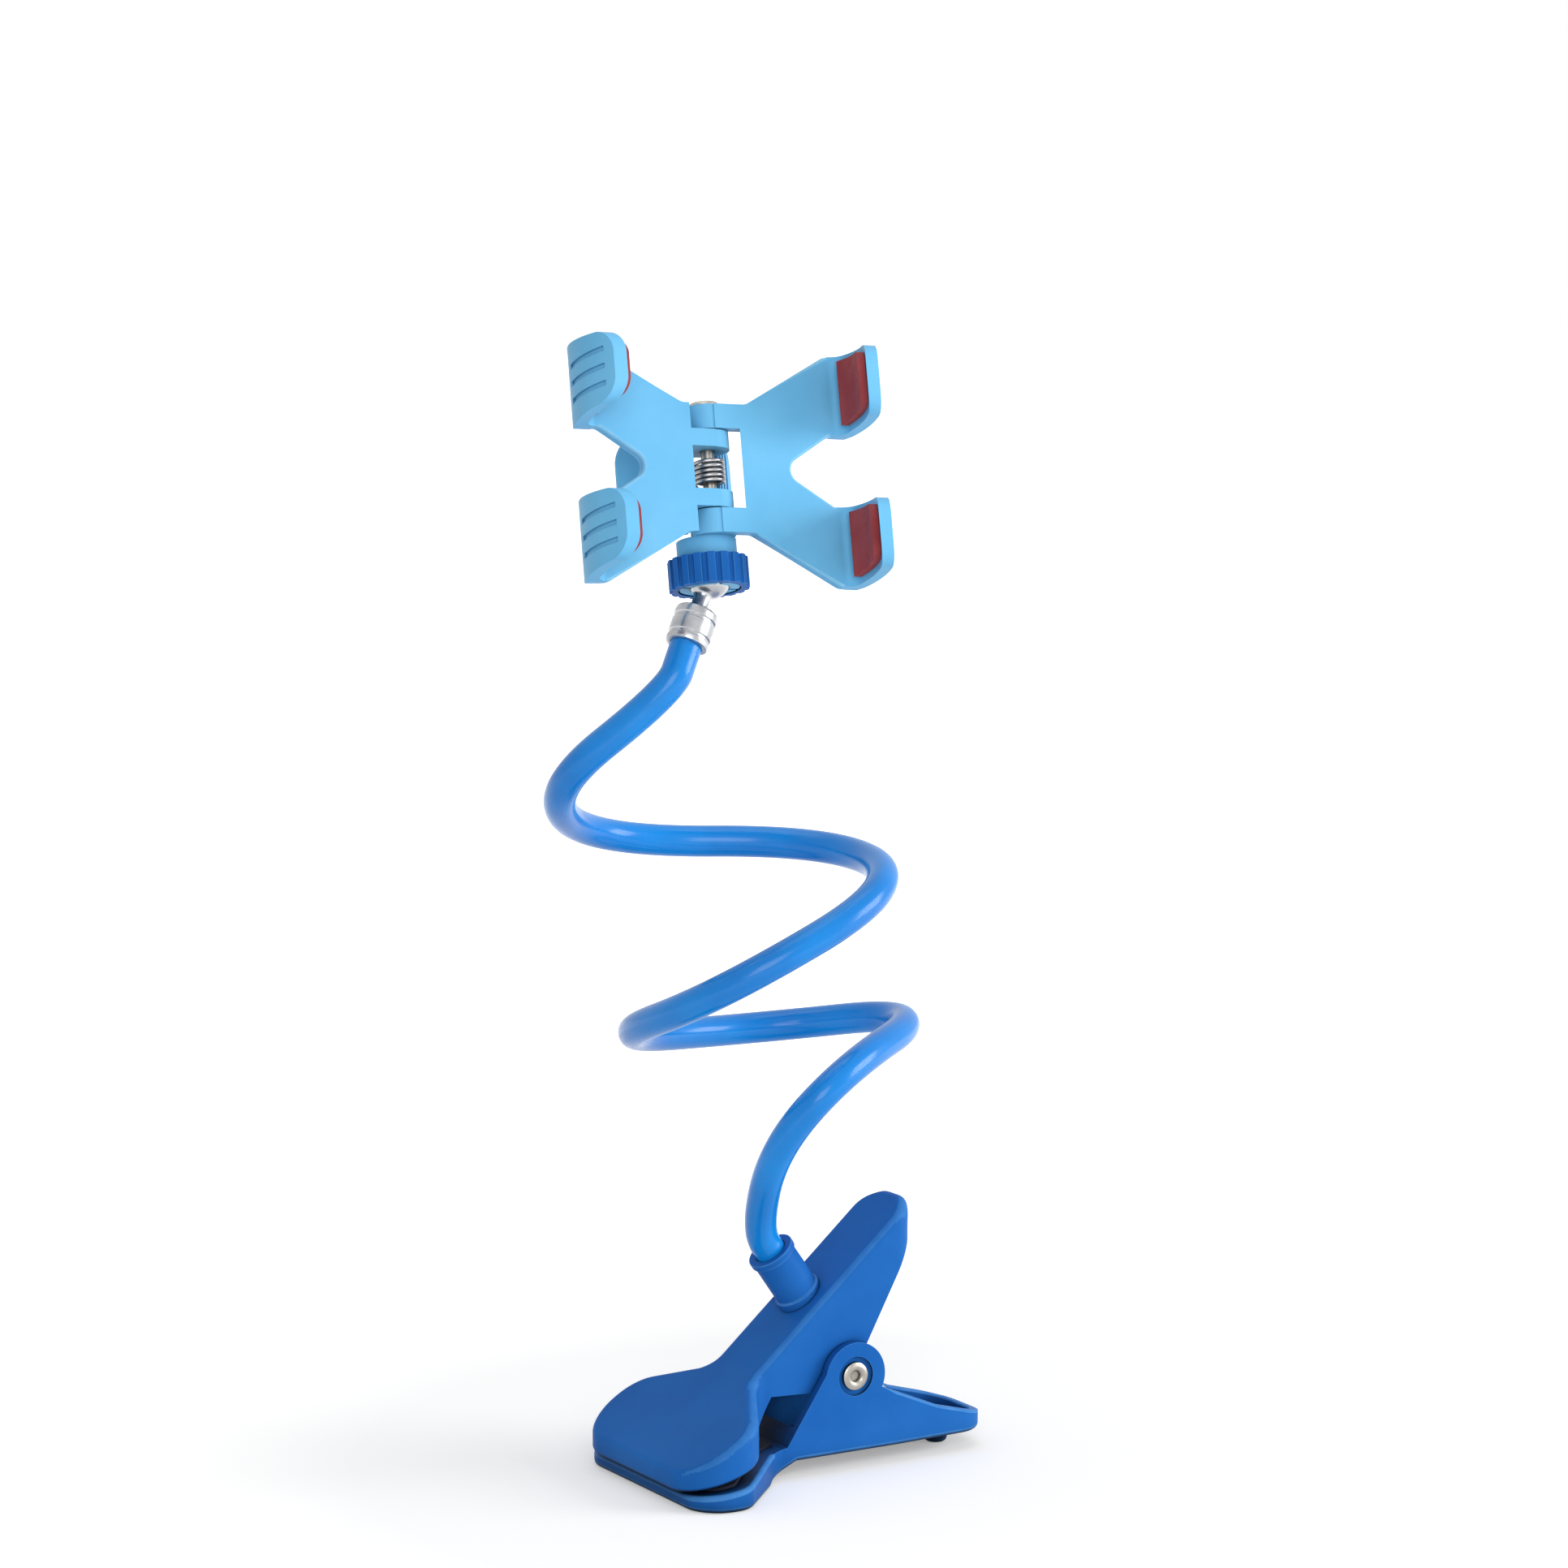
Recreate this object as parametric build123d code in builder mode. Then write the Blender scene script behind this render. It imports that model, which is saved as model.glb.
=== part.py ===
"""Clip-on gooseneck phone holder: a spring clamp, a bendable neck, a ball joint and a four-finger cradle.

Frame: +X runs from the clamp's nose to its handles, -Y is the cradle's open side, +Z is up.
The origin is on the table under the clamp's pivot. All lengths are in millimetres.
"""

import os
from math import acos, asin, atan2, cos, degrees, radians, sin, sqrt, tan

from build123d import *

os.makedirs("parts", exist_ok=True)

# Clearances
running_gap = 0.3  # between faces that turn past each other
seat_gap = 0.1  # between a tube and the cup it is pressed into
coil_gap = 0.2  # between a spring's turns

# Clamp: both jaws
pivot_height = 24.0
rivet_shank = 4.6
rivet_bore = 2.4
rivet_bore_depth = 3.0  # from each head
rivet_head = 7.2
rivet_head_thickness = 1.3
rivet_recess = 0.9  # the heads sit in round recesses in the ears
rivet_recess_diameter = 10.0
nose_width = 62.0
nose_corner = 9.5
shoulder_round = 7.0
pad_thickness = 2.4
pad_proud = 0.6
pad_inset = 4.5

# Clamp: lower jaw
lower_wall = 2.4
lower_width = 26.0
lower_nose_reach = 54.5  # pivot to the front edge
lower_nose_edge = 3.8
lower_plate_reach = 20.0  # pivot to the back of the nose plate
lower_plate_height = 8.4
lower_shoulder_reach = 41.0
lower_neck_reach = 23.5
lower_pad_back = 21.5  # pivot to the back of the pad
heel_reach = 17.0
heel_rise = 4.5  # underside of the handle above the table
ear_radius = 8.6
lower_handle_reach = 41.0
lower_handle_end_height = 8.6
lower_handle_end_width = 23.5
lower_handle_mid = (25.0, 13.0)  # top edge of the handle wall, half-way out
lower_handle_round = 8.5
ear_back_angle = -25.0  # degrees, where the handle's top edge leaves the ear
foot_inset = 9.0  # the stud that the handle stands on, from the handle's end
foot_diameter = 6.0

# Clamp: upper jaw
upper_wall = 2.2
upper_top = 2.6
upper_boss = 7.2
upper_nose_width = 60.0
upper_nose_corner = 12.0
upper_shoulder_round = 10.0
upper_neck_round = 5.0
upper_nose_reach = 56.5
upper_nose_slope = 31.5  # degrees, top of the nose
upper_bite_slope = 18.0  # degrees, underside of the nose
upper_bite_height = 4.0  # underside of the nose at its front edge
upper_shoulder_reach = 38.0
upper_neck_reach = 27.5
upper_neck_under = 21.2  # underside behind the nose
upper_bend_round = 30.0  # where the nose turns up into the handle
upper_rim_round = 2.2  # top rim of the nose and handle
upper_lip_round = 1.0  # lower rim of the nose
upper_handle_slope = 41.0  # degrees
upper_handle_length = 38.5  # along the slope, from the collar to the end
upper_handle_end_depth = 4.6
upper_boss_angle = 55.0  # degrees, where the handle's lower edge meets the boss
upper_channel_reach = 19.0  # in front of the collar, along the slope
upper_handle_round = 8.5

# Clamp spring
clamp_wire = 1.5
clamp_coil_radius = 5.4
clamp_coil_turns = 4
lower_leg_reach = 26.0
upper_leg_reach = 14.0  # past the collar, along the handle's slope

# Collar and neck
collar_reach = 8.7  # in front of the pivot
collar_height = 43.4  # of its foot on the sloping handle
collar_lean = 35.0  # degrees from upright
collar_diameter = 11.2
collar_length = 15.0
collar_lip = 0.5
collar_lip_length = 1.8
sleeve_diameter = 8.0
core_diameter = 5.0
neck_seat = 0.6  # end of the neck above the collar's foot, clear of the handle
neck_first_run = 22.0  # along the collar's axis
neck_points = [  # across, along and the share of the cradle's height
    (-24.0, -13.2, 0.3385),
    (-10.1, -24.0, 0.4197),
    (33.5, 4.1, 0.4448),
    (2.9, 42.4, 0.4133),
    (-51.9, 24.3, 0.4333),
    (-48.0, -28.0, 0.508),
    (5.0, -29.2, 0.6011),
    (12.6, 17.6, 0.6183),
    (-42.5, 45.4, 0.6195),
    (-76.6, 8.4, 0.695),
    (-50.9, -10.0, 0.7966),
]

# Ball joint
ball_diameter = 11.0
ball_neck_diameter = 4.8
ball_neck_length = 4.0
stud_cup_diameter = 10.6
stud_cup_depth = 8.0
stud_cup_floor = 1.6
socket_wall = 1.7
socket_mouth_drop = 2.8  # mouth of the socket below the ball's centre
socket_slot = 1.2
socket_slot_height = 7.0
nut_wall = 2.2
nut_height = 7.5
nut_knurls = 18
nut_knurl_radius = 0.8

# Cradle, in its own frame: X right, Y back, Z up along the hinge pin
cradle_height = 250.2  # middle of the hinge above the table
cradle_offset = (-33.6, 1.6)
cradle_turn = (-17.5, 5.0, -4.0)  # lean back, roll and turn, degrees
ball_drop = 25.0  # ball's centre below the middle of the hinge
ball_back = 4.5  # ball's centre behind the hinge pin, so that the nut keeps clear of the grip
hinge_half_height = 16.0
outer_knuckle_length = 6.1
inner_knuckle_length = 4.3
knuckle_radius = 5.5
hinge_window = 3.2  # room round the knuckles of the other half
hinge_pin_diameter = 3.2
hinge_pin_head = 7.6
hinge_pin_head_thickness = 1.4
arm_front = 5.8  # front face of the arms, ahead of the hinge pin
arm_wall = 3.2
web_reach = 17.0
grip_width = 66.0  # between the soft pads, which give a little
grip_ahead = 13.0  # widest point of the fingers ahead of the hinge pin
finger_radius = 32.0  # outer face
finger_wall = 3.0
finger_tip_reach = 13.5  # ahead of the widest point
finger_spacing = 38.0
finger_root_height = 20.0
finger_tip_height = 16.5
finger_tip_round = 6.0
finger_rib_groove = 0.6
finger_rib_width = 1.3
finger_rib_pitch = 4.2
finger_pad_thickness = 2.0
finger_pad_inset = 1.6
tab_angle = 52.0  # degrees from the arm to the thumb tab
tab_length = 23.0
tab_width = 27.0
tab_thickness = 3.0
tab_round = 7.0
tab_ribs = 4
tab_rib_pitch = 3.2
tab_rib_height = 0.7
stop_lug_length = 11.0  # from the hinge pin
stop_lug_thickness = 2.4

# Cradle spring
cradle_wire = 1.0
cradle_coil_radius = 3.6
cradle_coil_turns = 4
cradle_leg_length = 14.0


def finish(piece, label, place=None):
    """Puts a piece in its place, names it and writes it."""
    if place is not None:
        piece.part.move(place)
    piece.part.label = label
    export_step(piece.part, f"parts/{label}.step")


def spade(front, shoulder, neck, back, half_width, neck_half, rounds):
    """Plan of a jaw: a wide nose that narrows to a neck, with rounds at its front, shoulders and neck."""
    with BuildSketch() as plan:
        with BuildLine():
            Polyline(
                (-front, -half_width), (-shoulder, -half_width), (-neck, -neck_half), (back, -neck_half),
                (back, neck_half), (-neck, neck_half), (-shoulder, half_width), (-front, half_width),
                close=True,
            )
        make_face()
        corners = plan.vertices().group_by(Axis.X)
        corner = min(rounds[0], 0.75 * (front - shoulder))
        slant = atan2(half_width - neck_half, shoulder - neck)
        side_bend = min(rounds[1], 0.98 * (front - shoulder - corner) / tan(slant / 2))
        fillet(corners[0], radius=corner)
        fillet(plan.vertices().filter_by(lambda v: abs(v.X + shoulder) < 1e-3), radius=side_bend)
        fillet(plan.vertices().filter_by(lambda v: abs(v.X + neck) < 1e-3), radius=rounds[2])
    return plan.sketch


def on_circle(centre, radius, angle):
    """Point of a circle, in a plane's own coordinates."""
    return (centre[0] + radius * cos(radians(angle)), centre[1] + radius * sin(radians(angle)))


def torsion_spring(radius, wire, start, end, turns, start_leg, end_leg):
    """Close-wound coil about the Z axis, with two straight legs that leave it on the tangent."""
    coil_turns = turns + ((end - start) % 360) / 360
    pitch = wire + coil_gap
    with BuildPart() as spring:
        with BuildLine() as coil:
            Helix(pitch=pitch, height=pitch * coil_turns, radius=radius)
        with BuildSketch(Plane(origin=coil.line @ 0, z_dir=coil.line % 0)):
            Circle(wire / 2)
        sweep(path=coil.line, is_frenet=True)
        ends = spring.faces().filter_by(GeomType.PLANE).sort_by(Axis.Z)
        extrude(ends[0], amount=start_leg)
        extrude(ends[-1], amount=end_leg)
    spring.part.move(Location((0, 0, -pitch * coil_turns / 2), (0, 0, start)))
    return spring


# Lower jaw: a flat nose plate, two ears for the pivot and a channel-shaped handle
pivot = (0.0, pivot_height)
lower_half = lower_width / 2
lower_plan = spade(
    lower_nose_reach, lower_shoulder_reach, lower_neck_reach, lower_handle_reach, nose_width / 2, lower_half,
    (nose_corner, shoulder_round, shoulder_round),
)
with BuildSketch() as handle_plan:
    with BuildLine():
        Polyline(
            (-lower_nose_reach, -nose_width), (lower_handle_mid[0] / 2, -nose_width),
            (lower_handle_mid[0] / 2, -lower_half), (lower_handle_reach, -lower_handle_end_width / 2),
            (lower_handle_reach, lower_handle_end_width / 2), (lower_handle_mid[0] / 2, lower_half),
            (lower_handle_mid[0] / 2, nose_width), (-lower_nose_reach, nose_width), close=True,
        )
    make_face()
    fillet(handle_plan.vertices().group_by(Axis.X)[-1], radius=lower_handle_round)
    add(lower_plan, mode=Mode.INTERSECT)

with BuildPart() as lower_channel:
    with BuildSketch(Plane.XZ):
        with BuildLine():
            Polyline(
                (-heel_reach, heel_rise + lower_wall), (lower_handle_reach, heel_rise + lower_wall),
                (lower_handle_reach, 3 * pivot_height), (-heel_reach, 3 * pivot_height), close=True,
            )
        make_face()
    extrude(amount=lower_half - lower_wall, both=True)
    with BuildSketch():
        add(offset(handle_plan.sketch, amount=-lower_wall, mode=Mode.PRIVATE))
    extrude(amount=3 * pivot_height, mode=Mode.INTERSECT)

plate_slope = degrees(asin((lower_plate_height - lower_nose_edge) / (lower_nose_reach - lower_plate_reach)))
lower_bite = Plane(
    origin=(-lower_nose_reach, 0, lower_nose_edge),
    x_dir=(cos(radians(plate_slope)), 0, sin(radians(plate_slope))),
    z_dir=(-sin(radians(plate_slope)), 0, cos(radians(plate_slope))),
)
with BuildSketch() as lower_pad_plan:
    with Locations((lower_nose_reach, 0)):
        add(lower_plan)
    offset(amount=-pad_inset, mode=Mode.REPLACE)
    with Locations((lower_nose_reach - lower_pad_back, 0)):
        Rectangle(2 * lower_nose_reach, nose_width, align=(Align.MAX, Align.CENTER), mode=Mode.INTERSECT)
pad_depth = pad_thickness - pad_proud

with BuildPart() as lower_jaw:
    with BuildSketch(Plane.XZ):
        with BuildLine():
            Polyline(
                (-lower_nose_reach, 0), (-lower_neck_reach - shoulder_round / 2, 0),
                (-heel_reach, heel_rise), (lower_handle_reach, heel_rise),
                (lower_handle_reach, lower_handle_end_height), lower_handle_mid,
                on_circle(pivot, ear_radius, ear_back_angle), pivot, on_circle(pivot, ear_radius, 170),
                (-lower_plate_reach, lower_plate_height), (-lower_nose_reach, lower_nose_edge), close=True,
            )
        make_face()
        with Locations(pivot):
            Circle(ear_radius)
    extrude(amount=nose_width / 2, both=True)
    with BuildSketch():
        add(handle_plan.sketch)
    extrude(amount=3 * pivot_height, mode=Mode.INTERSECT)
    add(lower_channel.part, mode=Mode.SUBTRACT)
    with BuildSketch():
        with Locations((lower_handle_reach - foot_inset, 0)):
            Circle(foot_diameter / 2)
    extrude(amount=heel_rise + lower_wall / 2)
    with BuildSketch(lower_bite):
        add(lower_pad_plan.sketch)
    extrude(amount=-pad_depth, mode=Mode.SUBTRACT)
    with BuildSketch(Plane.XZ):
        with Locations(pivot):
            Circle(rivet_shank / 2)
    extrude(amount=lower_width, both=True, mode=Mode.SUBTRACT)
    for side in (1, -1):
        with BuildSketch(Plane.XZ.offset(side * (lower_half - rivet_recess))):
            with Locations(pivot):
                Circle(rivet_recess_diameter / 2)
        extrude(amount=side * lower_wall, mode=Mode.SUBTRACT)
finish(lower_jaw, "lower_jaw")

with BuildPart() as lower_jaw_pad:
    with BuildSketch(lower_bite.offset(-pad_depth)):
        add(lower_pad_plan.sketch)
    extrude(amount=pad_thickness)
finish(lower_jaw_pad, "lower_jaw_pad")

# Upper jaw: a thick sloping nose and an upturned channel for a handle, with the neck's collar on top
upper_half = lower_half - lower_wall - running_gap
slope = radians(upper_handle_slope)
collar_foot = Vector(-collar_reach, 0, collar_height)
handle_side = Plane(origin=collar_foot, x_dir=(cos(slope), 0, sin(slope)), z_dir=(0, -1, 0))
handle_top = Plane(
    origin=collar_foot, x_dir=(cos(slope), 0, sin(slope)), z_dir=(-sin(slope), 0, cos(slope))
)
bend_x = -upper_neck_reach
bend_z = collar_height + (bend_x + collar_reach) * tan(slope)
nose_top_z = bend_z - (upper_nose_reach - upper_neck_reach) * tan(radians(upper_nose_slope))
bite_slope = radians(upper_bite_slope)
bite_back_z = upper_bite_height + (upper_nose_reach - upper_neck_reach) * tan(bite_slope)
upper_plan = spade(
    upper_nose_reach, upper_shoulder_reach, upper_neck_reach, 0, upper_nose_width / 2, upper_half,
    (upper_nose_corner, upper_shoulder_round, upper_neck_round),
)
upper_bite = Plane(
    origin=(-upper_nose_reach, 0, upper_bite_height),
    x_dir=(cos(bite_slope), 0, sin(bite_slope)),
    z_dir=(-sin(bite_slope), 0, cos(bite_slope)),
)
with BuildSketch() as upper_pad_plan:
    with Locations((upper_nose_reach, 0)):
        add(upper_plan)
    offset(amount=-pad_inset, mode=Mode.REPLACE)
    with Locations((upper_nose_reach - upper_neck_reach - upper_lip_round, 0)):
        Rectangle(2 * upper_nose_reach, nose_width, align=(Align.MAX, Align.CENTER), mode=Mode.INTERSECT)

with BuildPart() as upper_nose:
    with BuildSketch(Plane.XZ):
        with BuildLine():
            Polyline(
                (-upper_nose_reach, upper_bite_height), (bend_x, bite_back_z),
                (bend_x + 2 * upper_wall, upper_neck_under),
                (bend_x + 2 * upper_wall, bend_z + 2 * upper_wall * tan(slope)),
                (bend_x, bend_z), (-upper_nose_reach, nose_top_z), close=True,
            )
        nose_side = make_face()
        fillet(nose_side.vertices().sort_by_distance((bend_x, bend_z))[0], radius=upper_bend_round)
    extrude(amount=upper_nose_width, both=True)
    with BuildSketch():
        add(upper_plan)
    extrude(amount=3 * pivot_height, mode=Mode.INTERSECT)



def outline_of(piece, wanted):
    """Edges round a group of faces that run into one another."""
    group = [face.edges() for face in piece.faces() if wanted(face)]
    return [e for e in piece.edges() if sum(e in edges for edges in group) == 1]


def top_facing(face):
    """Top faces of the upper jaw, which all slope down to the nose."""
    normal = face.normal_at()
    return abs(normal.Y) < 0.01 and normal.X < -0.1 and normal.Z > 0.5


def bite_facing(face):
    """Underside of the upper jaw's nose."""
    return (face.normal_at() + upper_bite.z_dir).length < 0.01


handle_tip = handle_side.from_local_coords((upper_handle_length, 0, 0))
handle_tip_under = handle_side.from_local_coords((upper_handle_length, -upper_handle_end_depth, 0))
with BuildSketch(handle_top) as handle_end:
    with Locations((upper_handle_length, 0)):
        tip = Rectangle(4 * upper_nose_reach, 2 * upper_half, align=(Align.MAX, Align.CENTER))
    fillet(handle_end.vertices().group_by(Axis.X)[-1], radius=upper_handle_round)

with BuildPart() as upper_channel:
    with BuildSketch(handle_side):
        with Locations((upper_handle_length - upper_wall, -upper_top)):
            Rectangle(
                upper_handle_length - upper_wall + upper_channel_reach, 3 * pivot_height,
                align=(Align.MAX, Align.MAX),
            )
    extrude(amount=upper_half - upper_wall, both=True)
    with BuildSketch(handle_top):
        with Locations((upper_handle_length - upper_wall, 0)):
            inside = Rectangle(
                4 * upper_nose_reach, 2 * (upper_half - upper_wall), align=(Align.MAX, Align.CENTER)
            )
        fillet(inside.vertices().group_by(Axis.X)[-1], radius=upper_handle_round - upper_wall)
    extrude(amount=4 * pivot_height, both=True, mode=Mode.INTERSECT)

with BuildPart() as upper_jaw:
    with BuildSketch(Plane.XZ):
        with BuildLine():
            Polyline(
                (bend_x, bend_z), (handle_tip.X, handle_tip.Z), (handle_tip_under.X, handle_tip_under.Z),
                on_circle(pivot, upper_boss, upper_boss_angle), pivot, on_circle(pivot, upper_boss, -150),
                (bend_x + 2 * upper_wall, upper_neck_under), (bend_x, bite_back_z), close=True,
            )
        make_face()
        with Locations(pivot):
            Circle(upper_boss)
    extrude(amount=upper_half, both=True)
    add(handle_end.sketch)
    extrude(amount=4 * pivot_height, both=True, mode=Mode.INTERSECT)
    add(upper_channel.part, mode=Mode.SUBTRACT)
    add(upper_nose.part)
    toe_depth = nose_top_z - upper_bite_height
    fillet(outline_of(upper_jaw, top_facing), radius=min(upper_rim_round, 0.55 * toe_depth, 0.95 * upper_top))
    fillet(outline_of(upper_jaw, bite_facing), radius=min(upper_lip_round, 0.25 * toe_depth))
    with BuildSketch(upper_bite):
        add(upper_pad_plan.sketch)
    extrude(amount=pad_depth, mode=Mode.SUBTRACT)
    with BuildSketch(Plane.XZ):
        with Locations(pivot):
            Circle(rivet_shank / 2 + running_gap)
    extrude(amount=lower_width, both=True, mode=Mode.SUBTRACT)
finish(upper_jaw, "upper_jaw")

with BuildPart() as upper_jaw_pad:
    with BuildSketch(upper_bite.offset(pad_depth)):
        add(upper_pad_plan.sketch)
    extrude(amount=-pad_thickness)
finish(upper_jaw_pad, "upper_jaw_pad")

# Collar that holds the neck's lower end, cut off at the handle's top face
collar_axis = Vector(-sin(radians(collar_lean)), 0, cos(radians(collar_lean)))
collar_plane = Plane(origin=collar_foot, x_dir=(0, 1, 0), z_dir=collar_axis)
with BuildPart() as neck_collar:
    with BuildSketch(collar_plane.offset(-collar_diameter / 2)):
        Circle(collar_diameter / 2)
    extrude(amount=collar_length + collar_diameter / 2)
    lips = (
        (-collar_diameter / 2, collar_lip_length), (collar_length - collar_lip_length, collar_length)
    )
    for lip_low, lip_high in lips:
        with BuildSketch(collar_plane.offset(lip_low)):
            Circle(collar_diameter / 2 + collar_lip)
        extrude(amount=lip_high - lip_low)
    with BuildSketch(collar_plane.offset(-collar_diameter)):
        Circle(sleeve_diameter / 2 + seat_gap)
    extrude(amount=2 * collar_diameter + collar_length, mode=Mode.SUBTRACT)
    split(bisect_by=handle_top, keep=Keep.TOP)
finish(neck_collar, "neck_collar")

# Rivet through both jaws, rolled over in the recesses of the lower jaw's ears
with BuildPart() as pivot_rivet:
    with BuildSketch(Plane.XZ):
        with Locations(pivot):
            Circle(rivet_shank / 2)
    extrude(amount=lower_half - rivet_recess, both=True)
    for side in (1, -1):
        with BuildSketch(Plane.XZ.offset(side * (lower_half - rivet_recess))):
            with Locations(pivot):
                Circle(rivet_head / 2)
        extrude(amount=side * rivet_head_thickness)
    head_top = lower_half - rivet_recess + rivet_head_thickness
    for side in (1, -1):
        with BuildSketch(Plane.XZ.offset(side * head_top)):
            with Locations(pivot):
                Circle(rivet_bore / 2)
        extrude(amount=-side * rivet_bore_depth, mode=Mode.SUBTRACT)
    rims = pivot_rivet.faces().filter_by(Axis.Y).edges().filter_by(GeomType.CIRCLE)
    outer_rims = [e for e in rims if abs(e.center().Y) > head_top - rivet_head_thickness / 2]
    fillet(outer_rims, radius=0.4 * rivet_head_thickness)
finish(pivot_rivet, "pivot_rivet")


def tangent_angle(target, radius, side):
    """Angle on a coil at the origin where a straight leg to the target leaves it."""
    distance = sqrt(target[0] ** 2 + target[1] ** 2)
    return degrees(atan2(target[1], target[0])) + side * degrees(acos(radius / distance))


def leg_length(target, radius):
    return sqrt(target[0] ** 2 + target[1] ** 2 - radius**2)


# Clamp spring: one leg on the lower handle's floor, the other under the upper handle
lower_leg_end = (lower_leg_reach, heel_rise + lower_wall + clamp_wire - pivot_height)
under_handle = handle_side.from_local_coords((upper_leg_reach, -upper_top - clamp_wire, 0))
upper_leg_end = (under_handle.X, under_handle.Z - pivot_height)
pivot_plane = Plane(origin=(0, 0, pivot_height), x_dir=(1, 0, 0), z_dir=(0, -1, 0))
clamp_spring = torsion_spring(
    clamp_coil_radius, clamp_wire,
    tangent_angle(lower_leg_end, clamp_coil_radius, 1), tangent_angle(upper_leg_end, clamp_coil_radius, -1),
    clamp_coil_turns,
    leg_length(lower_leg_end, clamp_coil_radius), leg_length(upper_leg_end, clamp_coil_radius),
)
finish(clamp_spring, "clamp_spring", pivot_plane.location)

# Neck: a soft metal core in a glossy sleeve, bent into two loose turns
cradle = Location((*cradle_offset, cradle_height), cradle_turn)
ball_centre = (cradle * Location((0, ball_back, -ball_drop))).position
neck_bends = [Vector(x, y, share * cradle_height) for x, y, share in neck_points]
stud_axis = (ball_centre - neck_bends[-1]).normalized()
stud_length = ball_diameter / 2 + ball_neck_length + stud_cup_floor
neck_end = ball_centre - stud_axis * stud_length
route = [
    collar_foot + collar_axis * neck_seat, collar_foot + collar_axis * neck_first_run, *neck_bends, neck_end
]


def bend_radii(points):
    """Largest bends that leave a short straight between neighbours."""
    radii = []
    for before, here, after in zip(points, points[1:], points[2:]):
        turn = radians((here - before).get_angle(after - here))
        radii.append(0.45 * min((here - before).length, (after - here).length) / tan(turn / 2))
    return radii


with BuildLine() as neck:
    FilletPolyline(*route, radius=bend_radii(route))
print("neck radii", [round(r, 1) for r in bend_radii(route)], "length", round(neck.wire().length, 1))
neck_start = Plane(origin=neck.line @ 0, z_dir=neck.line % 0)

with BuildPart() as neck_sleeve:
    with BuildSketch(neck_start):
        Circle(sleeve_diameter / 2)
        Circle(core_diameter / 2, mode=Mode.SUBTRACT)
    sweep(path=neck.line)
finish(neck_sleeve, "neck_sleeve")

with BuildPart() as neck_core:
    with BuildSketch(neck_start):
        Circle(core_diameter / 2)
    sweep(path=neck.line)
finish(neck_core, "neck_core")

# Ferrule crimped over the neck's upper end, and the ball stud in its floor, both about the stud's axis
stud_place = Plane(origin=ball_centre, z_dir=stud_axis).location
ferrule_mouth = Plane.XY.offset(-stud_length - stud_cup_depth)
with BuildPart() as neck_ferrule:
    with BuildSketch(ferrule_mouth):
        Circle(stud_cup_diameter / 2)
    extrude(amount=stud_cup_depth + stud_cup_floor)
    with BuildSketch(ferrule_mouth):
        Circle(sleeve_diameter / 2 + seat_gap)
    extrude(amount=stud_cup_depth, mode=Mode.SUBTRACT)
    with BuildSketch(ferrule_mouth):
        Circle(ball_neck_diameter / 2)
    extrude(amount=2 * stud_length, mode=Mode.SUBTRACT)
    top_rim = neck_ferrule.edges().group_by(Axis.Z)[-1].sort_by(SortBy.RADIUS)[-1]
    fillet(top_rim, radius=0.5 * stud_cup_floor)
finish(neck_ferrule, "neck_ferrule", stud_place)

with BuildPart() as ball_stud:
    Sphere(ball_diameter / 2)
    with BuildSketch(Plane.XY.offset(-stud_length)):
        Circle(ball_neck_diameter / 2)
    extrude(amount=stud_length)
finish(ball_stud, "ball_stud", stud_place)

# Cradle: two sprung halves on one pin, each with two fingers that curl forwards and in
finger_inner = finger_radius - finger_wall
pad_inner = finger_inner - finger_pad_thickness
finger_centre = (grip_width / 2 - pad_inner, -grip_ahead)
arm_back = arm_front - arm_wall
finger_low = (finger_spacing - finger_root_height) / 2
finger_high = (finger_spacing + finger_root_height) / 2
tip_y = -grip_ahead - finger_tip_reach
tab_plane = Plane(
    origin=(0, 0, 0),
    x_dir=(cos(radians(tab_angle)), sin(radians(tab_angle)), 0),
    z_dir=(-sin(radians(tab_angle)), cos(radians(tab_angle)), 0),
)


def across(radius, y):
    """Distance to the right at which a finger's face crosses a depth."""
    return finger_centre[0] + sqrt(radius**2 - (y - finger_centre[1]) ** 2)


def finger_side(inset):
    """Both fingers from the side: full height at the root, lower and rounded at the tip."""
    with BuildSketch() as side:
        for up in (1, -1):
            middle = up * finger_spacing / 2
            root = finger_root_height / 2 - inset
            end = finger_tip_height / 2 - inset
            with BuildLine():
                Polyline(
                    (0, middle - root), (-arm_front, middle - root), (tip_y + inset, middle - end),
                    (tip_y + inset, middle + end), (-arm_front, middle + root), (0, middle + root),
                    close=True,
                )
            make_face()
        fillet(side.vertices().group_by(Axis.X)[0], radius=finger_tip_round - inset)
    return side.sketch


def ring_band(outer, inner):
    """Slice of a ring about the fingers' centre, ahead of the arms."""
    with BuildSketch() as band:
        with Locations(finger_centre):
            Circle(outer)
            Circle(inner, mode=Mode.SUBTRACT)
        with Locations((0, -arm_front)):
            Rectangle(
                4 * finger_radius, 2 * finger_radius, align=(Align.MIN, Align.MAX), mode=Mode.INTERSECT
            )
    return band.sketch


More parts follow.
